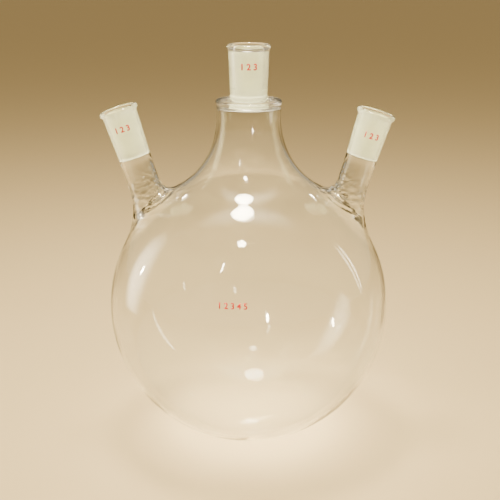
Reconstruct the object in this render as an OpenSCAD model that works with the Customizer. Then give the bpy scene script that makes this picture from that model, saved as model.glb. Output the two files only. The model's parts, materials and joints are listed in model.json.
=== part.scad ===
// Three neck round bottom flask, blown in one piece. Sizes in millimetres.
// Origin: lowest point of the round bottom. +Z up through the centre neck.
// The two side necks lean outwards in the XZ plane.

/* [Body] */
// Outside diameter of the round body
body_d = 223; // [180:1:260]
// Glass thickness of the round body and the bell
body_wall = 3; // [2:0.1:5]

/* [Wide neck] */
// Outside diameter of the wide centre neck
wide_neck_d = 50; // [44:0.5:60]
// Glass thickness of the wide neck
wide_neck_wall = 2.6; // [2:0.1:4]
// Radius of the bell that joins the wide neck to the body
bell_r = 64; // [44:1:70]
// Length of the straight stretch above the bell
wide_neck_length = 10.5; // [6:0.5:60]
// Height of the rolled bead at the top of the wide neck
shoulder_bead_h = 3.4; // [3:0.1:7]
// How far the rolled bead stands proud of the wide neck
shoulder_bead_proud = 0.8; // [0.4:0.1:1.2]
// Thickness of the flat shoulder that closes the wide neck
shoulder_wall = 4; // [3:0.1:4.4]

/* [Ground sockets] */
// Diameter of the ground taper at its mouth
ground_mouth_d = 24; // [19:0.5:29]
// Length of the centre and the left ground taper
ground_length = 40; // [30:1:50]
// Length of the right ground taper, which is cut a little shorter
right_ground_length = 37; // [30:1:50]
// Length over which the taper narrows by one millimetre of diameter
taper_run = 10; // [8:0.5:12]
// Width of the eased edge at the mouth of each taper
mouth_ease = 0.6; // [0.3:0.1:1]

/* [Centre socket] */
// Outside diameter at the foot of the centre socket
centre_foot_d = 28.8; // [26:0.2:32]
// Outside diameter under the rim bead of the centre socket
centre_top_d = 31.4; // [30:0.2:34]
// Height of the centre taper's foot above the shoulder
centre_rise = 2; // [0:0.5:10]
// How far the centre rim bead stands proud of the wall under it
centre_rim_proud = 1.2; // [0.6:0.1:2]
// Height of the centre rim bead
centre_rim_h = 4.6; // [3:0.2:6]
// Radius of the fused fillet at the foot of the centre socket
centre_foot_fillet = 4.2; // [1:0.2:5]

/* [Side necks] */
// Lean of the left neck from the upright
left_lean = 17.5; // [8:0.5:30]
// Lean of the right neck from the upright
right_lean = 16.5; // [8:0.5:30]
// Angle from the upright at which each side neck's axis enters the body
side_foot_angle = 43.4; // [41:0.2:52]
// Outside diameter of the plain stem
side_stem_d = 25; // [24:0.2:28]
// Inside diameter of the plain stem
side_bore_d = 20; // [18:0.5:20]
// Length of each plain stem from the body to the ground taper
side_stem_length = 41.5; // [36:0.5:60]
// Outside diameter under the rim bead of a side socket
side_top_d = 27.4; // [27.2:0.2:29]
// How far a side rim bead stands proud of the wall under it
side_rim_proud = 1.7; // [0.6:0.1:2]
// Height of a side rim bead
side_rim_h = 5; // [3:0.2:6]
// Reach of the fused fillet on the side that faces away from the centre neck
root_reach = 24; // [8:0.5:26]
// Reach of the fused fillet on the side that faces the centre neck
root_inner_reach = 16; // [8:0.5:18]

/* [Smoothness] */
// Faces round a full circle where a surface is drawn round
round_faces = 96; // [48:8:160]
// Points round each fused root
root_points = 48; // [32:4:60]
// Rings in each fused root
root_rings = 9; // [5:1:12]

/* [Hidden] */
$fn = round_faces;

// Overruns that keep faces from meeting edge to edge where shapes are joined or cut.
cut_run = 1;
seam_dip = 0.05;
seam_proud = 0.15;
seam_tuck = 0.6;

arc_steps = 8;
under_rim_steps = 4;
// Angles of the drawn arcs: the sweep in under a rim, the start of a rim and of the bead, and the top.
sweep_from = 170;
sweep_to = 110;
rim_from = -30;
bead_from = -50;
arc_top = 90;
// Radius of the sweep under a rim as a share of how far the rim stands proud.
sweep_share = 0.9;

body_r = body_d / 2;
body_inner_r = body_r - body_wall;
neck_r = wide_neck_d / 2;
neck_inner_r = neck_r - wide_neck_wall;

// The bell's arc is drawn about a point level with the foot of the straight neck.
bell_out = neck_r + bell_r;
bell_rise = sqrt(pow(body_r + bell_r - seam_dip, 2) - pow(bell_out, 2));
bell_inner_r = bell_r + wide_neck_wall;
bell_inner_rise = sqrt(pow(body_inner_r + bell_inner_r - seam_dip, 2) - pow(neck_inner_r + bell_inner_r, 2));
neck_foot_z = body_r + bell_rise;
neck_inner_foot_z = body_r + bell_inner_rise;
shoulder_foot_z = neck_foot_z + wide_neck_length;
shoulder_z = shoulder_foot_z + shoulder_bead_h;
ceiling_z = shoulder_z - shoulder_wall;
ceiling_round = 3;

ground_mouth_r = ground_mouth_d / 2;
ground_foot_r = (ground_mouth_d - ground_length / taper_run) / 2;
side_bore_r = side_bore_d / 2;

side_foot = body_r * [sin(side_foot_angle), 0, cos(side_foot_angle)];

// The bell's arc in the half plane: distance out, height over the ball's centre, radius.
outer_bell = [bell_out, bell_rise, bell_r];
inner_bell = [neck_inner_r + bell_inner_r, bell_inner_rise, bell_inner_r];

// Points along an arc about a centre, from one angle to another.
function arc(centre, r, from, to, steps = arc_steps) = [
    for (i = [0:steps])
        let (a = from + (to - from) * i / steps)
            centre + r * [cos(a), sin(a)]
];

// Outside of a socket: a straight foot, a gently widening wall and a rolled rim bead.
module socket_outside(foot_r, top_r, proud, rim_h, below, height) {
    bead_r = rim_h / 2;
    sweep_in = proud * sweep_share;
    under_rim = height - rim_h;
    rotate_extrude()
        polygon(concat(
            [[0, -below], [foot_r, -below], [foot_r, 0], [top_r, under_rim - sweep_in]],
            arc([top_r + sweep_in, under_rim - sweep_in / 2], sweep_in, sweep_from, sweep_to,
                under_rim_steps),
            arc([top_r + proud - bead_r, height - bead_r], bead_r, rim_from, arc_top),
            [[0, height]]
        ));
}

// A ground taper with its eased mouth, cut from the foot of the taper upwards.
module ground_taper(height) {
    foot_r = ground_mouth_r - height / taper_run / 2;
    cylinder(h = height, r1 = foot_r, r2 = ground_mouth_r);
    translate([0, 0, height - mouth_ease])
        cylinder(h = mouth_ease + cut_run, r1 = ground_mouth_r, r2 = ground_mouth_r + mouth_ease + cut_run);
}

// A bell between a round body and a neck: a revolved web with a round bite out of it.
module bell(ball_r, tube_r, blend_r, rise) {
    centre = [tube_r + blend_r, rise];
    start = centre * (ball_r - body_wall) / norm(centre);
    rotate_extrude()
        difference() {
            polygon([[0, start[1]], start, centre, [0, rise]]);
            translate(centre)
                circle(r = blend_r);
        }
}

// The flat shoulder with its rolled bead, from the top of the straight neck up.
module shoulder() {
    bead_r = neck_r + shoulder_bead_proud;
    edge = shoulder_bead_h / 2;
    rotate_extrude()
        polygon(concat(
            [[0, 0], [neck_r, 0]],
            arc([bead_r - edge, edge], edge, bead_from, arc_top),
            [[0, shoulder_bead_h]]
        ));
}

// Fused fillet between the shoulder and the centre socket.
module centre_foot() {
    outer = centre_foot_d / 2 + centre_foot_fillet;
    rotate_extrude()
        difference() {
            translate([0, -cut_run])
                square([outer, centre_foot_fillet + cut_run]);
            translate([outer, centre_foot_fillet])
                circle(r = centre_foot_fillet);
        }
}

module centre_outside() {
    translate([0, 0, neck_foot_z])
        cylinder(h = wide_neck_length, r = neck_r);
    translate([0, 0, shoulder_foot_z])
        shoulder();
    translate([0, 0, shoulder_z])
        centre_foot();
    translate([0, 0, shoulder_z + centre_rise])
        socket_outside(centre_foot_d / 2, centre_top_d / 2, centre_rim_proud, centre_rim_h,
                       centre_rise + shoulder_wall / 2, ground_length);
}

module centre_inside() {
    translate([0, 0, neck_inner_foot_z])
        rotate_extrude()
            polygon(concat(
                [[0, 0], [neck_inner_r, 0]],
                arc([neck_inner_r - ceiling_round, ceiling_z - neck_inner_foot_z - ceiling_round],
                    ceiling_round, 0, arc_top),
                [[0, ceiling_z - neck_inner_foot_z]]
            ));
    translate([0, 0, ceiling_z - cut_run])
        cylinder(h = shoulder_wall + centre_rise + cut_run, r = ground_foot_r);
    translate([0, 0, shoulder_z + centre_rise])
        ground_taper(ground_length);
}

// Directions along a leaning neck, and outwards from its axis at an angle round the stem.
function along(lean) = [sin(lean), 0, cos(lean)];
function outward(lean, a) = [cos(lean) * cos(a), sin(a), -sin(lean) * cos(a)];

// Where a line along the stem's wall, at an angle round it, meets the ball.
function meet(lean, a, tube_r, ball_r) =
    let (
        start = side_foot + tube_r * outward(lean, a),
        rise = start * along(lean),
        run = sqrt(rise * rise - start * start + ball_r * ball_r) - rise
    )
    start + run * along(lean);

// Reach of the fillet at an angle round the stem: one value towards the centre neck, one away from it.
function reach_at(a, extra) =
    root_reach + extra + (root_inner_reach - root_reach) * (1 - cos(a)) / 2;

// Whether a point stands over the bell rather than over the ball.
function over_bell(p, blend) = norm([p.x, p.y]) * blend[1] < p.z * blend[0];

// The outward direction of the wall under a point.
function wall_normal(p, blend) =
    let (
        span = norm([p.x, p.y]),
        back = [blend[0] - span, blend[1] - p.z] / norm([blend[0] - span, blend[1] - p.z])
    )
    over_bell(p, blend) ? [back[0] * p.x / span, back[0] * p.y / span, back[1]] : p / norm(p);

// The point on the wall under a point, standing proud of it by an amount.
function on_wall(p, ball_r, blend, proud) =
    let (stand_off = blend[2] - norm([blend[0] - norm([p.x, p.y]), blend[1] - p.z]))
    over_bell(p, blend)
        ? p + (proud - stand_off) * wall_normal(p, blend)
        : (ball_r + proud) * p / norm(p);

// The point on the wall that lies a reach outwards from where the stem meets the ball.
function wall_point(lean, a, tube_r, ball_r, blend, reach, proud) =
    let (
        corner = meet(lean, a, tube_r, ball_r),
        out = corner / norm(corner),
        level = outward(lean, a) - (outward(lean, a) * out) * out
    )
    on_wall(corner + reach * level / norm(level), ball_r, blend, proud);

// How far up the stem, from its corner with the ball, the wall's tangent at the fillet's edge passes.
function bend_rise(lean, corner, base, blend) =
    let (n = wall_normal(base, blend))
    ((base - corner) * n) / (along(lean) * n);

// One point of the fused root: a curve that leaves the stem and lands on the wall, flush with both.
function root_point(lean, a, t, tube_r, ball_r, blend, extra) =
    let (
        reach = reach_at(a, extra),
        corner = meet(lean, a, tube_r + seam_proud, ball_r),
        base = wall_point(lean, a, tube_r, ball_r, blend, reach, seam_proud),
        bend = corner + bend_rise(lean, corner, base, blend) * along(lean),
        top = bend + reach * along(lean)
    )
    pow(1 - t, 2) * top + 2 * t * (1 - t) * bend + t * t * base;

// The fused root as a closed loft. Its ends are tucked into the stem and into the wall.
module root(lean, tube_r, ball_r, blend, extra) {
    turns = [for (i = [0:root_points - 1]) 360 * i / root_points];
    rings = [
        for (k = [0:root_rings])
            [for (a = turns) root_point(lean, a, k / root_rings, tube_r, ball_r, blend, extra)]
    ];
    first = [
        for (i = [0:root_points - 1])
            rings[0][i] + 2 * seam_tuck * along(lean) - (seam_tuck + seam_proud) * outward(lean, turns[i])
    ];
    last = [
        for (a = turns)
            wall_point(lean, a, tube_r, ball_r, blend, reach_at(a, extra) + 2 * seam_tuck, -seam_tuck)
    ];
    deep = [for (a = turns) wall_point(lean, a, tube_r, ball_r, blend, 0, -3 * seam_tuck)];
    all_rings = concat([first], rings, [last, deep]);
    ring_count = len(all_rings);
    points = concat(
        [for (ring = all_rings) for (p = ring) p],
        [
            side_foot + reach_at(arc_top, extra) * along(lean),
            side_foot * (ball_r - 4 * seam_tuck) / body_r
        ]
    );
    top_centre = ring_count * root_points;
    faces = concat(
        [
            for (k = [0:ring_count - 2])
                for (i = [0:root_points - 1])
                    let (j = (i + 1) % root_points)
                        each [
                            [k * root_points + i, k * root_points + j, (k + 1) * root_points + j],
                            [k * root_points + i, (k + 1) * root_points + j, (k + 1) * root_points + i]
                        ]
        ],
        [for (i = [0:root_points - 1]) [top_centre, (i + 1) % root_points, i]],
        [
            for (i = [0:root_points - 1])
                let (foot = (ring_count - 1) * root_points)
                    [top_centre + 1, foot + i, foot + (i + 1) % root_points]
        ]
    );
    polyhedron(points = points, faces = faces);
}

// Places a shape at the foot of a side neck, with +Z along the neck.
module on_side_neck(lean) {
    translate(side_foot)
        rotate([0, lean, 0])
            children();
}

module side_outside(lean, taper_length) {
    on_side_neck(lean)
        translate([0, 0, side_stem_length])
            socket_outside(side_stem_d / 2, side_top_d / 2, side_rim_proud, side_rim_h,
                           side_stem_length + body_wall / 2, taper_length);
    root(lean, side_stem_d / 2, body_r, outer_bell, 0);
}

module side_inside(lean, taper_length) {
    on_side_neck(lean) {
        translate([0, 0, -side_stem_d])
            cylinder(h = side_stem_d + side_stem_length + cut_run, r = side_bore_r);
        translate([0, 0, side_stem_length])
            ground_taper(taper_length);
    }
    root(lean, side_bore_r, body_inner_r, inner_bell, body_wall);
}

module flask() {
    color([0.86, 0.9, 0.88, 0.4])
        difference() {
            union() {
                translate([0, 0, body_r]) {
                    sphere(r = body_r);
                    bell(body_r, neck_r, bell_r, bell_rise);
                    side_outside(right_lean, right_ground_length);
                    mirror([1, 0, 0])
                        side_outside(left_lean, ground_length);
                }
                centre_outside();
            }
            translate([0, 0, body_r]) {
                sphere(r = body_inner_r);
                bell(body_inner_r, neck_inner_r, bell_inner_r, bell_inner_rise);
                side_inside(right_lean, right_ground_length);
                mirror([1, 0, 0])
                    side_inside(left_lean, ground_length);
            }
            centre_inside();
        }
}

flask();
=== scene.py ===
import json
import math

import bmesh
import bpy
from bpy.props import (FloatProperty, FloatVectorProperty, IntProperty, PointerProperty,
                       StringProperty)
from bpy.types import Operator, Panel, PropertyGroup
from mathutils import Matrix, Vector
from mathutils.geometry import delaunay_2d_cdt

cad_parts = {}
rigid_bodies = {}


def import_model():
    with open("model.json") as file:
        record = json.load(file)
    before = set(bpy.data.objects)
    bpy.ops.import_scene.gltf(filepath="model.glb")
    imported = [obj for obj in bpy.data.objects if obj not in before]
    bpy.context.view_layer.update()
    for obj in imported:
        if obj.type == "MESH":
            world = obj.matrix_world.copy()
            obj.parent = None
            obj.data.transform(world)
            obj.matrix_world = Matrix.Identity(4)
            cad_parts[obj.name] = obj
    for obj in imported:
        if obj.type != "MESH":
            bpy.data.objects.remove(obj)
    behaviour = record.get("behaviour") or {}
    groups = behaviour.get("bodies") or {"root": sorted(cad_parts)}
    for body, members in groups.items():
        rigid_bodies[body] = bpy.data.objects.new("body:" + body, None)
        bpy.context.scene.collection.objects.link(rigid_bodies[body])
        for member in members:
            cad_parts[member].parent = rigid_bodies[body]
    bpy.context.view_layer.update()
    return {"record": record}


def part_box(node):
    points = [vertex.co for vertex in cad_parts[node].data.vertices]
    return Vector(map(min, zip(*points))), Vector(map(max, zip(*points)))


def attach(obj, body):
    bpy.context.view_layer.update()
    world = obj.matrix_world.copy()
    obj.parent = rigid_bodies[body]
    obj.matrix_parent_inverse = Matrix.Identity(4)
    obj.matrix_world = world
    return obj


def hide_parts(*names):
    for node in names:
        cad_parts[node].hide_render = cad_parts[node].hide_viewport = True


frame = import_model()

bl_info = {
    "name": "Three neck flask",
    "version": (1, 0, 0),
    "blender": (4, 5, 0),
    "location": "3D View > Sidebar > Flask",
    "description": "Blown glass flask with three ground sockets, fired numbers and a studio stage",
    "category": "Add Mesh",
}

LOW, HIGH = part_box("flask")
MOUNTS = {mount["name"]: mount for mount in frame["record"]["mounts"]}
BORE_RADIUS = MOUNTS["right_bore"]["dims"]["r_mm"] / 1000

MM = 0.001
TAPER = 0.1  # a ground socket narrows by 1 in 10 on its diameter
BEVEL = 0.7 * MM  # width of the bevel at the foot of a ground face
GLASS_IOR = 1.474

# Places in the glass mesh's list of materials.
# The last is ground glass made nearly opaque: real frosting, plus a painted glow at the centre
# socket's foot.
CLEAR, GROUND, PAINTED_GLOW = 0, 1, 2

# Steps of the outlines: round the ball, round the bell, and along a straight.
BALL_STEPS, BELL_STEPS, STRAIGHT_STEPS = 76, 20, 10


# ---------------------------------------------------------------- settings

class FlaskForm(PropertyGroup):
    """Sizes of the blown form, in metres."""
    body_diameter: FloatProperty(
        name="Body diameter", description="Outside diameter of the round body",
        default=HIGH.y - LOW.y, unit="LENGTH")
    body_wall: FloatProperty(
        name="Body wall", description="Glass thickness of the body and the bell",
        default=3 * MM, unit="LENGTH")
    neck_diameter: FloatProperty(
        name="Wide neck diameter", description="Outside diameter of the wide neck",
        default=50 * MM, unit="LENGTH")
    neck_wall: FloatProperty(
        name="Wide neck wall", description="Glass thickness of the wide neck",
        default=2.6 * MM, unit="LENGTH")
    bell_radius: FloatProperty(
        name="Bell radius", description="Radius of the bell between the body and the wide neck",
        default=64 * MM, unit="LENGTH")
    bead_height: FloatProperty(
        name="Bead height", description="Height of the rolled bead round the shoulder",
        default=3.4 * MM, unit="LENGTH")
    bead_proud: FloatProperty(
        name="Bead proud", description="How far the bead stands out from the wide neck",
        default=0.8 * MM, unit="LENGTH")
    shoulder_wall: FloatProperty(
        name="Shoulder wall", description="Thickness of the flat shoulder",
        default=4 * MM, unit="LENGTH")
    socket_length: FloatProperty(
        name="Socket length", description="Length of each ground taper",
        default=40 * MM, unit="LENGTH")
    socket_mouth: FloatProperty(
        name="Socket mouth", description="Diameter of each ground taper at its mouth",
        default=24 * MM, unit="LENGTH")
    centre_rise: FloatProperty(
        name="Centre rise", description="Height of the centre taper's foot above the shoulder",
        default=2 * MM, unit="LENGTH")
    foot_fillet: FloatProperty(
        name="Foot fillet", description="Radius of the fused fillet round the centre socket's foot",
        default=4.2 * MM, unit="LENGTH")
    centre_foot: FloatProperty(
        name="Centre foot", description="Outside diameter at the foot of the centre socket",
        default=28.8 * MM, unit="LENGTH")
    centre_top: FloatProperty(
        name="Centre top", description="Outside diameter under the centre rim bead",
        default=31.4 * MM, unit="LENGTH")
    centre_proud: FloatProperty(
        name="Centre rim", description="How far the centre rim bead stands proud",
        default=1.2 * MM, unit="LENGTH")
    centre_rim_height: FloatProperty(
        name="Centre rim height", description="Height of the centre rim bead",
        default=4.6 * MM, unit="LENGTH")
    centre_plain: FloatProperty(
        name="Centre plain rim", description="Clear height over the centre socket's ground face",
        default=4.6 * MM, unit="LENGTH")
    side_stem: FloatProperty(
        name="Side stem", description="Outside diameter of the side necks' plain stem",
        default=25 * MM, unit="LENGTH")
    side_top: FloatProperty(
        name="Side top", description="Outside diameter under a side rim bead",
        default=27.4 * MM, unit="LENGTH")
    side_proud: FloatProperty(
        name="Side rim", description="How far a side rim bead stands proud",
        default=1.7 * MM, unit="LENGTH")
    side_rim_height: FloatProperty(
        name="Side rim height", description="Height of the side rim beads",
        default=5 * MM, unit="LENGTH")
    side_plain: FloatProperty(
        name="Side plain rim", description="Clear height over a side socket's ground face",
        default=2.2 * MM, unit="LENGTH")
    stem_length: FloatProperty(
        name="Stem length", description="Plain stem from the body to the foot of each side taper",
        default=41.5 * MM, unit="LENGTH")
    root_reach: FloatProperty(
        name="Root reach",
        description="Reach of the fused fillet on the side away from the centre neck",
        default=24 * MM, unit="LENGTH")
    root_inner_reach: FloatProperty(
        name="Inner root reach",
        description="Reach of the fused fillet on the side that faces the centre neck",
        default=16 * MM, unit="LENGTH")
    ripple: FloatProperty(
        name="Fusing ripple", description="Height of the ripples where the side necks are fused on",
        default=0.5 * MM, unit="LENGTH")
    waviness: FloatProperty(
        name="Waviness", description="Slow unevenness of the blown wall on its inside",
        default=0.12 * MM, unit="LENGTH")
    turns: IntProperty(
        name="Body segments", description="Segments round the body", default=192, min=48, max=256)
    neck_turns: IntProperty(
        name="Neck segments", description="Segments round each side neck",
        default=80, min=24, max=128)


class FlaskFinish(PropertyGroup):
    """Colours of the glass, the frosting and the fired numbers."""
    glass: FloatVectorProperty(
        name="Glass", description="Tint of the clear glass",
        default=(0.985, 0.992, 0.985), size=3, subtype="COLOR", min=0, max=1)
    ground: FloatVectorProperty(
        name="Ground glass", description="Colour of the ground faces inside the sockets",
        default=(0.88, 0.90, 0.66), size=3, subtype="COLOR", min=0, max=1)
    enamel: FloatVectorProperty(
        name="Enamel", description="Colour of the fired numbers",
        default=(0.58, 0.03, 0.025), size=3, subtype="COLOR", min=0, max=1)
    socket_numbers: StringProperty(
        name="Socket numbers", description="Plain numbers fired on each socket", default="1 2 3")
    body_numbers: StringProperty(
        name="Body numbers", description="Plain numbers fired on the body", default="1 2 3 4 5")


class FlaskStage(PropertyGroup):
    """Floor, lights and camera."""
    floor: FloatVectorProperty(
        name="Floor", description="Colour of the plain floor",
        default=(0.72, 0.57, 0.34), size=3, subtype="COLOR", min=0, max=1)
    surround: FloatVectorProperty(
        name="Surround", description="Colour of the room's soft light",
        default=(0.88, 0.76, 0.54), size=3, subtype="COLOR", min=0, max=1)
    surround_strength: FloatProperty(
        name="Surround strength", description="Brightness of the room's soft light",
        default=0.46, min=0)
    lamp_colour: FloatVectorProperty(
        name="Lamp colour", description="Colour of all the lamps",
        default=(1.0, 0.91, 0.72), size=3, subtype="COLOR", min=0, max=1)
    camera_back: FloatProperty(
        name="Camera distance",
        description="Level distance from the centre neck's axis to the camera",
        default=0.774, unit="LENGTH")
    camera_height: FloatProperty(
        name="Camera height", description="Height of the camera above the floor",
        default=0.388, unit="LENGTH")
    camera_pitch: FloatProperty(
        name="Camera pitch", description="How far the camera looks down",
        default=math.radians(16.7), subtype="ANGLE")
    focal_length: FloatProperty(
        name="Focal length", description="Focal length in millimetres on a 36 mm sensor",
        default=72.47)
    frame_shift: FloatProperty(
        name="Frame shift", description="Sideways shift of the frame", default=0.0026)


# ---------------------------------------------------------------- geometry

def arc(centre, radius, start, end, steps):
    """Points along an arc in the (radius, height) half plane, both ends included; angles in
    degrees."""
    points = []
    for step in range(steps + 1):
        angle = math.radians(start + (end - start) * step / steps)
        points.append((centre[0] + radius * math.cos(angle),
                       centre[1] + radius * math.sin(angle)))
    return points


def line(start, end, steps):
    """Points from start towards end, with the end left out."""
    return [(start[0] + (end[0] - start[0]) * i / steps,
             start[1] + (end[1] - start[1]) * i / steps) for i in range(steps)]


class Skin:
    """Points, faces and finishes of one closed glass wall. The revolved body's points come
    first."""

    def __init__(self):
        self.points = []
        self.faces = []
        self.finish = []
        self.body_points = 0

    def add(self, point):
        self.points.append(Vector(point))
        return len(self.points) - 1

    def ring(self, points):
        return [self.add(point) for point in points]

    def face(self, corners, finish=CLEAR):
        self.faces.append(tuple(corners))
        self.finish.append(finish)

    def bridge(self, lower, upper, finish=CLEAR):
        """Joins two rings of the same number of points."""
        count = len(lower)
        for i in range(count):
            j = (i + 1) % count
            self.face((lower[i], lower[j], upper[j], upper[i]), finish)

    def mesh(self, name):
        mesh = bpy.data.meshes.new(name)
        mesh.from_pydata(self.points, [], self.faces)
        mesh.polygons.foreach_set("material_index", self.finish)
        mesh.polygons.foreach_set("use_smooth", [True] * len(self.faces))
        mesh.validate()
        return mesh


def socket_outside(foot, top, proud, rim_height, height, sweep=0.9):
    """Outline of a socket's outside from its foot up to the top of the rolled rim. The sweep is the
    radius of the hollow under the rim, as a share of how far the rim stands proud."""
    bead = rim_height / 2
    sweep_in = proud * sweep
    under_rim = height - rim_height
    points = line((foot, 0), (top, under_rim - sweep_in), STRAIGHT_STEPS)
    points += arc((top + sweep_in, under_rim - sweep_in / 2), sweep_in, 170, 110, 6)
    points += arc((top + proud - bead, height - bead), bead, -30, 90, 14)
    return points


def socket_inside(form, height, plain):
    """The ground taper from its eased, plain mouth down to its foot, as (outline, finish of each
    step)."""
    mouth = form.socket_mouth / 2
    ease = 0.8 * MM
    ground_top = (mouth - plain * TAPER / 2, height - plain)
    edge = arc((mouth + ease, height - ease), ease, 90, 180, 6)
    edge += line((mouth, height - ease), ground_top, 2)[1:]
    taper = line(ground_top, (BORE_RADIUS, BEVEL), 18)
    foot = [(BORE_RADIUS, BEVEL), (BORE_RADIUS + 0.45 * BEVEL, 0.6 * BEVEL),
            (BORE_RADIUS + BEVEL, 0)]
    points = edge + taper + foot
    finish = [CLEAR] * len(edge) + [GROUND] * (len(taper) + 2) + [CLEAR]
    return points, finish


class Wall:
    """One face of the body's wall, outer or inner: a ball with a bell on top of it."""

    def __init__(self, form, inner):
        body_wall, neck_wall = (form.body_wall, form.neck_wall) if inner else (0, 0)
        self.neck = form.neck_diameter / 2 - neck_wall
        self.ball = form.body_diameter / 2 - body_wall
        self.bell = form.bell_radius + neck_wall
        self.centre = Vector((0, 0, form.body_diameter / 2))
        # The middle of the bell's arc stands this far out and up from the ball's centre.
        self.out = self.neck + self.bell
        self.rise = math.sqrt((self.ball + self.bell) ** 2 - self.out ** 2)
        self.tangent = math.degrees(math.atan2(self.rise, self.out))

    def away(self, point):
        """From a point to the middle of the bell's arc, in the (radius, height) half plane."""
        arm = point - self.centre
        return Vector((self.out - math.hypot(arm.x, arm.y), self.rise - arm.z))

    def over_bell(self, point):
        """Whether a point lies over the bell, past the line where the ball runs into it."""
        arm = point - self.centre
        return math.hypot(arm.x, arm.y) * self.rise < arm.z * self.out

    def normal(self, point):
        """The wall's direction outwards, next to a point."""
        arm = point - self.centre
        if not self.over_bell(point):
            return arm.normalized()
        back = self.away(point).normalized()
        span = math.hypot(arm.x, arm.y)
        return Vector((back.x * arm.x / span, back.x * arm.y / span, back.y))

    def gap(self, point):
        """How far a point stands off the wall."""
        if self.over_bell(point):
            return self.bell - self.away(point).length
        return (point - self.centre).length - self.ball

    def drop(self, point):
        """The point moved straight onto the wall."""
        return point - self.gap(point) * self.normal(point)


def body_outlines(form):
    """The revolved outline, from the lowest point outside up over the centre mouth and down to the
    lowest point inside, with the finish of each step."""
    body = form.body_diameter / 2
    outer, inner = Wall(form, False), Wall(form, True)
    socket_foot = HIGH.z - form.socket_length
    shoulder = socket_foot - form.centre_rise
    bead_foot = shoulder - form.bead_height
    under_bead = 1.5 * MM
    edge = form.bead_height / 2
    bead = outer.neck + form.bead_proud - edge
    fillet = form.foot_fillet
    foot = form.centre_foot / 2

    outside = arc((0, body), outer.ball, -90, outer.tangent, BALL_STEPS)
    outside += arc((outer.out, body + outer.rise), outer.bell,
                   180 + outer.tangent, 180, BELL_STEPS)[1:]
    outside += line((outer.neck, body + outer.rise), (outer.neck, bead_foot - under_bead),
                    STRAIGHT_STEPS)[1:]
    outside += arc((bead, bead_foot + edge), edge, -42, 90, 14)
    outside += line((bead, shoulder), (foot + fillet, shoulder), 5)[1:]
    outside += arc((foot + fillet, shoulder + fillet), fillet, 270, 180, 8)
    wall = socket_outside(foot, form.centre_top / 2, form.centre_proud, form.centre_rim_height,
                          form.socket_length)
    outside += [(r, z + socket_foot) for r, z in wall if z + socket_foot > shoulder + fillet]

    taper, taper_finish = socket_inside(form, form.socket_length, form.centre_plain)
    inside = [(r, z + socket_foot) for r, z in taper]
    ceiling = shoulder - form.shoulder_wall
    lip = 1.2 * MM
    corner = 3 * MM
    lip_steps = 5
    inside += arc((BORE_RADIUS + lip, ceiling + lip), lip, 180, 270, lip_steps)
    inside += line((BORE_RADIUS + lip, ceiling), (inner.neck - corner, ceiling), 4)[1:]
    inside += arc((inner.neck - corner, ceiling - corner), corner, 90, 0, 8)
    inside += line((inner.neck, ceiling - corner), (inner.neck, body + inner.rise),
                   STRAIGHT_STEPS)[1:]
    inside += arc((inner.out, body + inner.rise), inner.bell,
                  180, 180 + inner.tangent, BELL_STEPS)
    inside += arc((0, body), inner.ball, inner.tangent, -90, BALL_STEPS)[1:]

    # The whiter finish takes in the end of the taper and the lip below it, short of its last step;
    # being nearly opaque, it paints a glow there.
    white = 6
    finish = [CLEAR] * len(outside) + taper_finish[:-white] + [PAINTED_GLOW] * (white + lip_steps - 1)
    finish += [CLEAR] * (len(outside) + len(inside) - 1 - len(finish))
    return outside + inside, finish


def revolve(skin, outline, finish, turns):
    """Revolves the outline about Z; both of its ends lie on the axis."""
    angles = [math.tau * i / turns for i in range(turns)]
    rings = [skin.ring([(r * math.cos(angle), r * math.sin(angle), z) for angle in angles])
             for r, z in outline[1:-1]]
    for lower, upper, kind in zip(rings, rings[1:], finish[1:]):
        skin.bridge(lower, upper, kind)
    for pole, ring in ((outline[0], rings[0]), (outline[-1], rings[-1])):
        tip = skin.add((0, 0, pole[1]))
        for i in range(turns):
            skin.face((tip, ring[(i + 1) % turns], ring[i]))


def facing(turn):
    """How far an angle round a side neck faces the centre neck: 0 on the outer side, 1 opposite."""
    return (1 - math.cos(turn)) / 2


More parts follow.
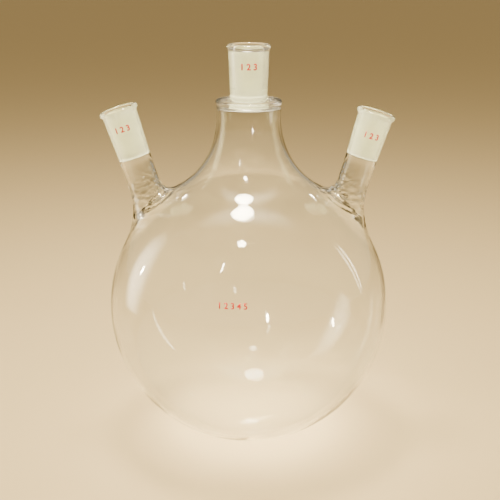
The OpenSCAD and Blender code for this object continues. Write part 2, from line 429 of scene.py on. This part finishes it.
class SideNeck:
    """Measures of one side neck, with its own directions. The mirror is 1 on the right and -1 on
    the left. Angles round the neck start on its outer side, away from the centre neck."""

    def __init__(self, form, mirror):
        self.form = form
        self.mirror = mirror
        mount = MOUNTS["right_socket" if mirror > 0 else "left_socket"]
        self.axis = Vector(mount["axis"]).normalized()
        self.mouth = Vector(mount["pos_m"])
        self.across = Vector((mirror * self.axis.z, 0, -mirror * self.axis.x))
        self.depth = Vector((0, 1, 0))
        self.centre = Vector((0, 0, form.body_diameter / 2))
        self.foot = self.on_ball(self.mouth, form.body_diameter / 2)
        self.stem = form.stem_length
        self.socket = (self.mouth - self.foot).length - self.stem
        # Middle of the seal on the side that faces the centre neck.
        self.seal = self.foot + 6 * MM * self.axis - 10 * MM * self.across

    def on_ball(self, point, ball):
        """Where the line through the point, along the neck, meets the ball."""
        arm = point - self.centre
        along = arm.dot(self.axis)
        run = -along + math.sqrt(along * along - arm.dot(arm) + ball * ball)
        return point + run * self.axis

    def spoke(self, turn):
        return self.across * math.cos(turn) + self.depth * math.sin(turn)

    def around(self, turn, radius, along):
        """A point round the neck's axis, at a distance along it from the foot."""
        return self.foot + self.axis * along + self.spoke(turn) * radius

    def reach(self, turn, extra):
        """Reach of the fused fillet at an angle round the stem."""
        form = self.form
        return form.root_reach + extra + (form.root_inner_reach - form.root_reach) * facing(turn)

    def corner(self, turn, radius, wall):
        """Where a line along the stem would meet the ball without a fillet."""
        return self.on_ball(self.around(turn, radius, 0), wall.ball)

    def on_wall(self, turn, radius, wall, reach):
        """The point on the wall that lies the reach outwards from the corner."""
        corner = self.corner(turn, radius, wall)
        out = (corner - self.centre).normalized()
        spoke = self.spoke(turn)
        level = (spoke - spoke.dot(out) * out).normalized()
        return wall.drop(corner + reach * level)

    def root(self, turn, share, radius, wall, extra):
        """A point of the fused fillet: share 0 on the stem, share 1 on the wall."""
        reach = self.reach(turn, extra)
        base = self.on_wall(turn, radius, wall, reach)
        normal = wall.normal(base)
        corner = self.corner(turn, radius, wall)
        bend = corner + self.axis * ((base - corner).dot(normal) / self.axis.dot(normal))
        top = bend + self.axis * reach
        return (1 - share) ** 2 * top + 2 * share * (1 - share) * bend + share * share * base


def fuse_side_neck(skin, form, mirror, turns, root_rings=20, stem_rings=12):
    """Adds one side neck and returns the two loops that lie on the outer and the inner wall."""
    neck = SideNeck(form, mirror)
    outer_wall, inner_wall = Wall(form, False), Wall(form, True)
    stem = form.side_stem / 2
    angles = [math.tau * i / turns for i in range(turns)]

    def root_loops(radius, wall, extra):
        return [skin.ring([neck.root(a, k / root_rings, radius, wall, extra) for a in angles])
                for k in range(root_rings, -1, -1)]

    def stem_loops(radius, wall, extra, top):
        """Rings that level out from the fillet's slanted edge to the flat foot of the socket."""
        loops = []
        for k in range(1, stem_rings):
            ring = []
            for a in angles:
                edge = (neck.root(a, 0, radius, wall, extra) - neck.foot).dot(neck.axis)
                ring.append(neck.around(a, radius, edge + (top - edge) * k / stem_rings))
            loops.append(skin.ring(ring))
        return loops

    def turned(outline):
        return [skin.ring([neck.around(a, r, z) for a in angles]) for r, z in outline]

    outer = root_loops(stem, outer_wall, 0)
    outer += stem_loops(stem, outer_wall, 0, neck.stem)
    wall = socket_outside(stem, form.side_top / 2, form.side_proud, form.side_rim_height,
                          neck.socket, sweep=0.4)
    outer += turned([(r, z + neck.stem) for r, z in wall])
    taper, taper_finish = socket_inside(form, neck.socket, form.side_plain)
    # Below the bevel the bore eases back to its own radius, over this depth in millimetres.
    ease_depth = 7
    ease_back = [(BORE_RADIUS + share * BEVEL, -drop * MM)
                 for share, drop in ((0.94, 0.8), (0.76, 1.8), (0.5, 3), (0.24, 4.4), (0.06, 6))]
    mouth = turned([(r, z + neck.stem) for r, z in taper + ease_back])
    inner = stem_loops(BORE_RADIUS, inner_wall, form.body_wall, neck.stem - ease_depth * MM)[::-1]
    inner += root_loops(BORE_RADIUS, inner_wall, form.body_wall)[::-1]

    loops = outer + mouth + inner
    finish = [CLEAR] * len(outer) + taper_finish + [CLEAR] * (len(ease_back) + len(inner))
    for lower, upper, kind in zip(loops, loops[1:], finish):
        skin.bridge(lower, upper, kind)
    return loops[0], loops[-1]


def inside_loop(point, loop):
    """Whether a flat point lies inside a flat closed loop."""
    hit = False
    for (x1, y1), (x2, y2) in zip(loop, loop[1:] + loop[:1]):
        if (y1 > point[1]) != (y2 > point[1]):
            if point[0] < (x2 - x1) * (point[1] - y1) / (y2 - y1) + x1:
                hit = not hit
    return hit


def join_loop(skin, form, mirror, loop, wall, margin):
    """Opens the wall's grid round a side neck's loop and fills the gap between them with triangles.
    The margin is how far the opening reaches past the loop."""
    on_the_wall = 0.3 * MM
    merge_distance = 1e-7
    neck = SideNeck(form, mirror)
    out = (neck.foot - neck.centre).normalized()
    side = Vector((0, 1, 0))
    up = out.cross(side)

    def flat(index):
        arm = skin.points[index] - neck.centre
        return (arm.dot(side) / wall.ball, arm.dot(up) / wall.ball)

    own = set(loop)
    rim = [flat(i) for i in loop]
    middle = (sum(p[0] for p in rim) / len(rim), sum(p[1] for p in rim) / len(rim))
    grown = []
    for x, y in rim:
        dx, dy = x - middle[0], y - middle[1]
        scale = 1 + margin / (wall.ball * math.hypot(dx, dy))
        grown.append((middle[0] + dx * scale, middle[1] + dy * scale))

    def near(index):
        point = skin.points[index]
        beside = point.x * mirror > 0 and (point - neck.centre).dot(out) > 0
        return index not in own and beside and abs(wall.gap(point)) < on_the_wall

    opened = {i for i in range(skin.body_points) if near(i) and inside_loop(flat(i), grown)}
    kept_faces, kept_finish = [], []
    edges = {}  # used as a set that keeps its order
    for face, kind in zip(skin.faces, skin.finish):
        if any(i in opened for i in face):
            edges.update(dict.fromkeys(zip(face, face[1:] + face[:1])))
        else:
            kept_faces.append(face)
            kept_finish.append(kind)
    skin.faces, skin.finish = kept_faces, kept_finish

    border = {a: b for a, b in edges if (b, a) not in edges}
    start = next(iter(border))
    chain = [start]
    while border[chain[-1]] != start:
        chain.append(border[chain[-1]])

    indices = chain + list(loop)
    points = [Vector(flat(i)) for i in indices]
    count = len(chain)
    links = [(i, (i + 1) % count) for i in range(count)]
    links += [(count + i, count + (i + 1) % len(loop)) for i in range(len(loop))]
    flat_points, _, triangles, origins, _, _ = delaunay_2d_cdt(
        points, links, [], 0, merge_distance)
    outer_loop = [tuple(points[i]) for i in range(count)]
    for triangle in triangles:
        corners = [flat_points[i] for i in triangle]
        centre = sum(corners, Vector((0, 0))) / 3
        if inside_loop(centre, outer_loop) and not inside_loop(centre, rim):
            skin.face([indices[origins[i][0]] for i in triangle])


def unevenness(form, necks, point, inner):
    """How far the wall stands off its true form at a point: slow waves all over, mostly inwards,
    and ripples at each root. Lengths are in millimetres here, until the push itself."""
    full_along, full_across, fade_over = 4, 14, 11
    x, y, z = (value / MM for value in point)
    slow = (math.sin(0.061 * x + 0.043 * y + 1.3) * math.cos(0.052 * z - 0.035 * x)
            + 0.6 * math.sin(0.097 * z + 0.071 * y + 0.5) * math.cos(0.083 * x - 1.1))
    push = -0.5 * form.waviness * (slow + 1.6) * (1.4 if inner else 1)
    for neck in necks:
        away = point - neck.foot
        along = away.dot(neck.axis) / MM
        span = (away - away.dot(neck.axis) * neck.axis).length / MM
        turn = math.atan2(away.dot(neck.depth), away.dot(neck.across))
        past_seal = math.hypot(max(along - full_along, 0) * 0.8, max(span - full_across, 0))
        fade = math.exp(-(past_seal / fade_over) ** 2)
        if along < -30 or span > 40 or fade < 0.01:
            continue
        rings = math.sin(1.05 * along - 0.75 * span + 1.4 * math.sin(3 * turn + 0.6)
                         + 0.8 * neck.mirror)
        lumps = math.sin(6 * turn + 0.31 * along) * math.cos(0.6 * along + 2 * turn + neck.mirror)
        fine = math.sin(1.7 * along + 4 * turn) * math.sin(0.9 * span - 3 * turn)
        strength = form.ripple * fade * (0.75 + 0.6 * facing(turn))
        push += strength * (0.5 * rings + 0.5 * lumps + 0.5 * fine - 0.8)
    return push


# ---------------------------------------------------------------- materials

def new_material(name):
    """An empty material with its nodes, its links and its main shader."""
    material = bpy.data.materials.new(name)
    material.use_nodes = True
    tree = material.node_tree
    return material, tree.nodes, tree.links, tree.nodes["Principled BSDF"]


def noise(nodes, links, scale, detail, roughness=0.5, distortion=0.0, stretch=(1, 1, 1)):
    """A noise between 0 and 1 in object coordinates, stretched by a scale on each axis."""
    place = nodes.new("ShaderNodeTexCoord")
    mapping = nodes.new("ShaderNodeMapping")
    mapping.inputs["Scale"].default_value = stretch
    texture = nodes.new("ShaderNodeTexNoise")
    texture.inputs["Scale"].default_value = scale
    texture.inputs["Detail"].default_value = detail
    texture.inputs["Roughness"].default_value = roughness
    texture.inputs["Distortion"].default_value = distortion
    links.new(place.outputs["Object"], mapping.inputs["Vector"])
    links.new(mapping.outputs["Vector"], texture.inputs["Vector"])
    return texture.outputs["Fac"]


def remap(nodes, links, source, low, high):
    """Maps the middle of a noise, from 0.3 to 0.7, to a range."""
    ranged = nodes.new("ShaderNodeMapRange")
    ranged.inputs["From Min"].default_value = 0.3
    ranged.inputs["From Max"].default_value = 0.7
    ranged.inputs["To Min"].default_value = low
    ranged.inputs["To Max"].default_value = high
    links.new(source, ranged.inputs["Value"])
    return ranged.outputs["Result"]


def two_tones(nodes, links, source, low, high):
    """A colour that runs from one (place, colour) to another as the source rises."""
    ramp = nodes.new("ShaderNodeValToRGB")
    for element, (position, colour) in zip(ramp.color_ramp.elements, (low, high)):
        element.position = position
        element.color = (*colour, 1)
    links.new(source, ramp.inputs["Fac"])
    return ramp.outputs["Color"]


def bumped(nodes, links, height, strength, distance, under=None):
    """A normal bent by a height, on top of another bump's normal if one is given."""
    bump = nodes.new("ShaderNodeBump")
    bump.inputs["Strength"].default_value = strength
    bump.inputs["Distance"].default_value = distance
    links.new(height, bump.inputs["Height"])
    if under is not None:
        links.new(under, bump.inputs["Normal"])
    return bump.outputs["Normal"]


def near_seals(nodes, links, seals):
    """1 within 12 mm of either sealed root, fading to 0 at 30 mm."""
    full, none = 12 * MM, 30 * MM
    place = nodes.new("ShaderNodeTexCoord")
    nearest = nodes.new("ShaderNodeMath")
    nearest.operation = "MINIMUM"
    for seal, slot in zip(seals, nearest.inputs):
        gap = nodes.new("ShaderNodeVectorMath")
        gap.operation = "DISTANCE"
        gap.inputs[1].default_value = seal
        links.new(place.outputs["Object"], gap.inputs[0])
        links.new(gap.outputs["Value"], slot)
    fade = nodes.new("ShaderNodeMapRange")
    fade.interpolation_type = "SMOOTHSTEP"
    fade.inputs["From Min"].default_value = none
    fade.inputs["From Max"].default_value = full
    links.new(nearest.outputs["Value"], fade.inputs["Value"])
    return fade.outputs["Result"]


def clear_glass(finish, seals):
    """Fire polished glass: faint draw lines, a trace of dust and flame ripples at the seals."""
    material, nodes, links, shader = new_material("clear_glass")
    shader.inputs["Base Color"].default_value = (*finish.glass, 1)
    shader.inputs["Transmission Weight"].default_value = 1
    shader.inputs["IOR"].default_value = GLASS_IOR
    dust = noise(nodes, links, 55, 6, 0.6)
    links.new(remap(nodes, links, dust, 0.0, 0.02), shader.inputs["Roughness"])
    draw = noise(nodes, links, 38, 3, stretch=(1, 1, 0.35))
    drawn = bumped(nodes, links, draw, 0.12, 0.4 * MM)
    flame = noise(nodes, links, 130, 1, distortion=1.2, stretch=(0.8, 0.8, 1.5))
    ripple = nodes.new("ShaderNodeMath")
    ripple.operation = "MULTIPLY"
    links.new(flame, ripple.inputs[0])
    links.new(near_seals(nodes, links, seals), ripple.inputs[1])
    links.new(bumped(nodes, links, ripple.outputs["Value"], 1, 0.8 * MM, under=drawn),
              shader.inputs["Normal"])
    return material


def ground_glass(finish, name="ground_glass", see_through=0.5):
    """Face ground with grit: a fine grain under a faint cloud."""
    material, nodes, links, shader = new_material(name)
    shader.inputs["Transmission Weight"].default_value = see_through
    shader.inputs["IOR"].default_value = GLASS_IOR
    cloud = noise(nodes, links, 90, 5, 0.6, stretch=(1, 1, 2.5))
    dull = [value * 0.9 for value in finish.ground]
    links.new(two_tones(nodes, links, cloud, (0.3, dull), (0.7, finish.ground)),
              shader.inputs["Base Color"])
    links.new(remap(nodes, links, cloud, 0.62, 0.8), shader.inputs["Roughness"])
    grit = noise(nodes, links, 2600, 2, stretch=(1, 1, 1.6))
    links.new(bumped(nodes, links, grit, 0.35, 0.1 * MM), shader.inputs["Normal"])
    return material


def red_enamel(finish):
    """Thin fired enamel, a little patchy where it is worn."""
    material, nodes, links, shader = new_material("red_enamel")
    patch = noise(nodes, links, 900, 4, 0.6)
    worn = [min(1, value * 1.25 + 0.03) for value in finish.enamel]
    links.new(two_tones(nodes, links, patch, (0.35, worn), (0.62, finish.enamel)),
              shader.inputs["Base Color"])
    links.new(remap(nodes, links, patch, 0.35, 0.6), shader.inputs["Roughness"])
    return material


def plain_floor(stage):
    """One matt colour."""
    material, _, _, shader = new_material("plain_floor")
    shader.inputs["Base Color"].default_value = (*stage.floor, 1)
    shader.inputs["Roughness"].default_value = 0.85
    return material


# ---------------------------------------------------------------- operators

def link(obj):
    """Puts an object into the scene."""
    bpy.context.scene.collection.objects.link(obj)
    return obj


def write_closed(work, mesh):
    """Turns every face outwards and writes the work back to its mesh, which has to be closed."""
    bmesh.ops.recalc_face_normals(work, faces=work.faces)
    open_edges = [edge for edge in work.edges if len(edge.link_faces) != 2]
    if open_edges:
        raise RuntimeError(f"{mesh.name} has {len(open_edges)} open edges")
    work.to_mesh(mesh)
    work.free()


class FLASK_OT_glass(Operator):
    """Builds the blown glass wall as one closed mesh, with clear and ground faces"""
    bl_idname = "flask.glass"
    bl_label = "Blown glass"

    def execute(self, context):
        form = context.scene.flask_form
        finish = context.scene.flask_finish
        opening_margin = 2 * MM
        skin = Skin()
        outline, kinds = body_outlines(form)
        revolve(skin, outline, kinds, form.turns)
        skin.body_points = len(skin.points)
        for mirror in (1, -1):
            outer, inner = fuse_side_neck(skin, form, mirror, form.neck_turns)
            join_loop(skin, form, mirror, outer, Wall(form, False), opening_margin)
            join_loop(skin, form, mirror, inner, Wall(form, True), opening_margin)
        mesh = skin.mesh("flask_glass")

        work = bmesh.new()
        work.from_mesh(mesh)
        loose = [vertex for vertex in work.verts if not vertex.link_faces]
        bmesh.ops.delete(work, geom=loose, context="VERTS")
        write_closed(work, mesh)

        # Every place is worked out before any is changed, because the normals follow the places.
        necks = [SideNeck(form, 1), SideNeck(form, -1)]
        centre = Vector((0, 0, form.body_diameter / 2))
        places = []
        for vertex in mesh.vertices:
            inner = (vertex.co - centre).dot(vertex.normal) < 0
            push = unevenness(form, necks, vertex.co, inner)
            places.append(vertex.co + vertex.normal * push)
        for vertex, place in zip(mesh.vertices, places):
            vertex.co = place

        glass = link(bpy.data.objects.new("flask_glass", mesh))
        # In the order of clear, ground, and the nearly opaque ground that paints a glow at the
        # centre socket's foot.
        mesh.materials.append(clear_glass(finish, [neck.seal for neck in necks]))
        mesh.materials.append(ground_glass(finish))
        mesh.materials.append(ground_glass(finish, "painted_glow_glass", see_through=0.1))
        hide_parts("flask")
        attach(glass, "root")
        return {"FINISHED"}


def number_mesh(text, height):
    """Plain numbers as a flat mesh about its middle, of a given digit height."""
    curve = bpy.data.curves.new("numbers", "FONT")
    curve.body = text
    curve.align_x = "CENTER"
    curve.align_y = "CENTER"
    curve.resolution_u = 4
    curve.offset = 0.022  # makes the strokes bolder
    holder = link(bpy.data.objects.new("numbers", curve))
    depsgraph = bpy.context.evaluated_depsgraph_get()
    mesh = bpy.data.meshes.new_from_object(holder.evaluated_get(depsgraph))
    bpy.data.objects.remove(holder)
    bpy.data.curves.remove(curve)
    levels = [vertex.co.y for vertex in mesh.vertices]
    scale = height / (max(levels) - min(levels))
    for vertex in mesh.vertices:
        vertex.co *= scale
    return mesh


def settle_order(work):
    """Sorts the points and faces by place, so that each run gives them in the same order."""
    points = sorted(work.verts, key=lambda vertex: tuple(vertex.co))
    for rank, vertex in enumerate(points):
        vertex.index = rank
    work.verts.sort()
    faces = sorted(work.faces, key=lambda face: sorted(vertex.index for vertex in face.verts))
    for rank, face in enumerate(faces):
        face.index = rank
    work.faces.sort()


def thicken(mesh, layer):
    """Makes a sheet a closed layer of the given thickness, inwards from its faces."""
    work = bmesh.new()
    work.from_mesh(mesh)
    bmesh.ops.remove_doubles(work, verts=work.verts, dist=layer / 20)
    bmesh.ops.solidify(work, geom=work.faces[:], thickness=layer)
    settle_order(work)
    write_closed(work, mesh)


class FLASK_OT_numbers(Operator):
    """Fires plain red numbers on the three sockets and on the body"""
    bl_idname = "flask.numbers"
    bl_label = "Fired numbers"

    def execute(self, context):
        form = context.scene.flask_form
        finish = context.scene.flask_finish
        enamel = red_enamel(finish)
        body = form.body_diameter / 2
        body_middle = Vector((-11.4, 0, 34.3)) * MM  # of the numbers, from the ball's centre
        foreshortening = 0.98
        lift = 0.1 * MM
        layer = 0.06 * MM
        socket_foot = HIGH.z - form.socket_length

        def socket_place(neck_point, foot, top, rise):
            """Maps flat (x, y) onto a socket's front. The rise is how high above the socket's foot
            the numbers stand."""
            def place(x, y):
                along = rise + y
                share = along / form.socket_length
                radius = (foot + (top - foot) * share) / 2 + lift
                return neck_point(x / radius, radius, along)
            return place

        def centre_point(turn, radius, along):
            return Vector((radius * math.sin(turn), -radius * math.cos(turn), socket_foot + along))

        def side_point(mirror):
            neck = SideNeck(form, mirror)
            front = -math.pi / 2

            def point(turn, radius, along):
                return neck.around(front + mirror * turn, radius, neck.stem + along)
            return point

        def body_place(x, y):
            """Maps flat (x, y) onto the front of the ball."""
            x, z = body_middle.x + x, body_middle.z + y * foreshortening
            return Vector((x, -math.sqrt((body + lift) ** 2 - x * x - z * z), body + z))

        centre = (form.centre_foot, form.centre_top)
        side = (form.side_stem, form.side_top)
        on_socket, on_body = finish.socket_numbers, finish.body_numbers
        # Name, text, height of the digits, where a flat point goes.
        jobs = (
            ("numbers_centre", on_socket, 4.9 * MM, socket_place(centre_point, *centre, 23.9 * MM)),
            ("numbers_left", on_socket, 4.6 * MM, socket_place(side_point(-1), *side, 24.3 * MM)),
            ("numbers_right", on_socket, 4.6 * MM, socket_place(side_point(1), *side, 18.6 * MM)),
            ("numbers_body", on_body, 4.4 * MM, body_place),
        )
        for name, text, height, place in jobs:
            mesh = number_mesh(text, height)
            for vertex in mesh.vertices:
                vertex.co = place(vertex.co.x, vertex.co.y)
            mesh.name = name
            thicken(mesh, layer)
            mesh.materials.clear()
            mesh.materials.append(enamel)
            mark = link(bpy.data.objects.new(name, mesh))
            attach(mark, "root")
        return {"FINISHED"}


def feather_edge(light, feather):
    """Fades a light towards its edge; the feather is the share of it that fades."""
    light.use_nodes = True
    nodes, links = light.node_tree.nodes, light.node_tree.links
    spot = nodes.new("ShaderNodeNewGeometry")
    offset = nodes.new("ShaderNodeVectorMath")
    offset.operation = "SUBTRACT"
    offset.inputs[1].default_value = (0.5, 0.5, 0)
    distance = nodes.new("ShaderNodeVectorMath")
    distance.operation = "LENGTH"
    fade = nodes.new("ShaderNodeMapRange")
    fade.interpolation_type = "SMOOTHSTEP"
    fade.inputs["From Min"].default_value = 0.5
    fade.inputs["From Max"].default_value = 0.5 * (1 - feather)
    links.new(spot.outputs["Parametric"], offset.inputs[0])
    links.new(offset.outputs["Vector"], distance.inputs[0])
    links.new(distance.outputs["Value"], fade.inputs["Value"])
    links.new(fade.outputs["Result"], nodes["Emission"].inputs["Strength"])


def soft_light(stage, name, place, size, power, feather=0.0, aim=(0, 0, 0.15)):
    """A soft light at a place, turned towards the aim."""
    light = bpy.data.lights.new(name, "AREA")
    light.shape = "RECTANGLE" if feather else "ELLIPSE"
    light.size, light.size_y = size
    light.energy = power
    light.color = stage.lamp_colour
    if feather:
        feather_edge(light, feather)
    lamp = link(bpy.data.objects.new(name, light))
    lamp.location = place
    lamp.rotation_euler = (Vector(aim) - Vector(place)).to_track_quat("-Z", "Y").to_euler()
    return lamp


class FLASK_OT_stage(Operator):
    """Lays the plain floor, hangs the soft lights and sets the camera"""
    bl_idname = "flask.stage"
    bl_label = "Stage"

    def execute(self, context):
        scene = context.scene
        stage = scene.flask_stage
        self.light_up(scene, stage, self.lay_floor(stage))
        self.set_camera(scene, stage)

        scene.view_settings.look = "AgX - Medium High Contrast"
        # Light crosses many glass faces in the roots and the sockets.
        scene.cycles.max_bounces = 32
        scene.cycles.transmission_bounces = 32
        scene.cycles.glossy_bounces = 12
        return {"FINISHED"}

    def lay_floor(self, stage):
        reach = 60
        corners = [(-reach, -reach, 0), (reach, -reach, 0), (reach, reach, 0), (-reach, reach, 0)]
        mesh = bpy.data.meshes.new("floor")
        mesh.from_pydata(corners, [], [(0, 1, 2, 3)])
        mesh.materials.append(plain_floor(stage))
        floor = link(bpy.data.objects.new("floor", mesh))
        return floor

    def light_up(self, scene, stage, floor):
        """Hangs the lights. Only the floor stops them, so that they shine through the clear wall;
        the shadow light alone is stopped by the glass and gives its soft shadow."""
        world = bpy.data.worlds.new("soft_surround")
        scene.world = world
        world.use_nodes = True
        backing = world.node_tree.nodes["Background"]
        backing.inputs["Color"].default_value = (*stage.surround, 1)
        backing.inputs["Strength"].default_value = stage.surround_strength

        def lamp(*measures, **options):
            return soft_light(stage, *measures, **options)

        # Name, place, size, power.
        for_flask = (
            lamp("left_light", (-0.665, 0.15, 0.25), (0.36, 0.81), 4.9, feather=0.75),
            lamp("right_light", (1.3, 0.30, 0.5), (0.06, 0.9), 3, feather=0.5),
            lamp("back_light", (-0.02, 2.2, 1.15), (0.3, 0.6), 5, feather=0.5, aim=(0, 0, 0.28)),
            lamp("left_strip", (-1.3, 0.31, 0.41), (0.06, 0.14), 3),
            lamp("front_strip", (-0.373, -0.741, 0.904), (0.03, 0.16), 1.2),
            lamp("low_strip", (0.29, -1.17, 0.28), (0.045, 0.15), 3.5),
            lamp("low_right_light", (0.62, -0.30, 0.06), (0.025, 0.07), 0.5),
            lamp("far_left_light", (-0.75, 1.1, 1.0), (0.06, 0.06), 0.7),
            lamp("far_right_light", (0.75, 1.1, 1.0), (0.06, 0.06), 0.7),
        )
        for_both = (
            lamp("overhead_light", (-0.068, 0.03, 1.15), (0.24, 0.24), 8),
            lamp("wide_light", (0, 0.03, 1.25), (1.6, 0.5), 11, feather=0.95, aim=(0, 0.2, 0.15)),
            lamp("front_light", (-0.094, -0.49, 1.15), (0.12, 0.12), 4),
        )
        lamp("shadow_light", (-0.068, 0.03, 1.16), (0.26, 0.26), 8)

        shadow_casters = bpy.data.collections.new("shadow_casters")
        shadow_casters.objects.link(floor)
        for light in for_flask + for_both:
            light.light_linking.blocker_collection = shadow_casters
        flask = bpy.data.collections.new("lit_by_side_lights")
        for piece in scene.objects:
            if piece.type == "MESH" and piece is not floor:
                flask.objects.link(piece)
        for light in for_flask:
            light.light_linking.receiver_collection = flask

    def set_camera(self, scene, stage):
        camera_data = bpy.data.cameras.new("camera")
        camera_data.sensor_width = 36
        camera_data.lens = stage.focal_length
        camera_data.shift_x = stage.frame_shift
        camera_data.clip_start = 0.01
        camera = link(bpy.data.objects.new("camera", camera_data))
        camera.location = (0, -stage.camera_back, stage.camera_height)
        camera.rotation_euler = (math.pi / 2 - stage.camera_pitch, 0, 0)
        scene.camera = camera


class FLASK_PT_panel(Panel):
    """Lists the flask's pieces and settings"""
    bl_idname = "FLASK_PT_panel"
    bl_label = "Three neck flask"
    bl_space_type = "VIEW_3D"
    bl_region_type = "UI"
    bl_category = "Flask"

    def draw(self, context):
        layout = self.layout
        for operator in OPERATORS:
            layout.operator(operator.bl_idname)
        scene = context.scene
        for group in (scene.flask_form, scene.flask_finish, scene.flask_stage):
            box = layout.box()
            for name in type(group).__annotations__:
                box.prop(group, name)


OPERATORS = (FLASK_OT_glass, FLASK_OT_numbers, FLASK_OT_stage)
CLASSES = (FlaskForm, FlaskFinish, FlaskStage, *OPERATORS, FLASK_PT_panel)


def register():
    for cls in CLASSES:
        bpy.utils.register_class(cls)
    bpy.types.Scene.flask_form = PointerProperty(type=FlaskForm)
    bpy.types.Scene.flask_finish = PointerProperty(type=FlaskFinish)
    bpy.types.Scene.flask_stage = PointerProperty(type=FlaskStage)


def unregister():
    del bpy.types.Scene.flask_stage
    del bpy.types.Scene.flask_finish
    del bpy.types.Scene.flask_form
    for cls in reversed(CLASSES):
        bpy.utils.unregister_class(cls)


def main():
    register()
    bpy.ops.flask.glass()
    bpy.ops.flask.numbers()
    bpy.ops.flask.stage()


if __name__ == "__main__":
    main()
